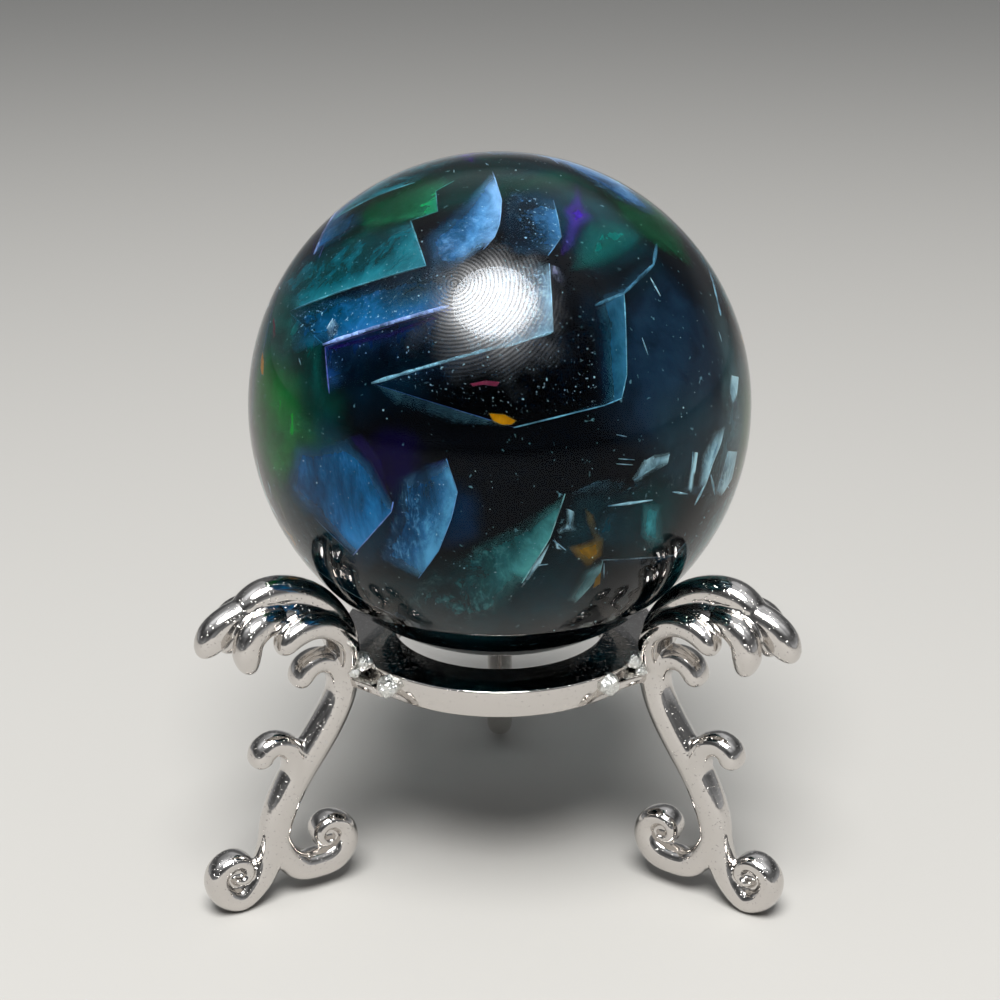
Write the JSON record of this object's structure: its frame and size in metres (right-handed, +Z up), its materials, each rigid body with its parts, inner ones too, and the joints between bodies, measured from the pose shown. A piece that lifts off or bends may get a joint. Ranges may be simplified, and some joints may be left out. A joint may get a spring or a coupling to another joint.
{
  "type": "sphere on a scrollwork stand",
  "caption": "Polished dark fluorite sphere resting in a bright plated tripod stand with a flat ring and scrolled legs topped by leaf sprays.",
  "frame": {"origin": "middle of the underside of the whole, on the plane the three feet rest on", "axes": "+Z up through the sphere, -Y to the front between the left and right legs, +X to the right"},
  "size_m": [0.0586, 0.0588, 0.0736],
  "materials": {
    "fluorite": "polished, dark and partly see-through",
    "plated_zinc": "bright plated casting"
  },
  "bodies": {
    "root": {"sphere": "fluorite", "ring": "plated_zinc", "leg_left": "plated_zinc", "leg_right": "plated_zinc", "leg_back": "plated_zinc"}
  },
  "joints": []
}
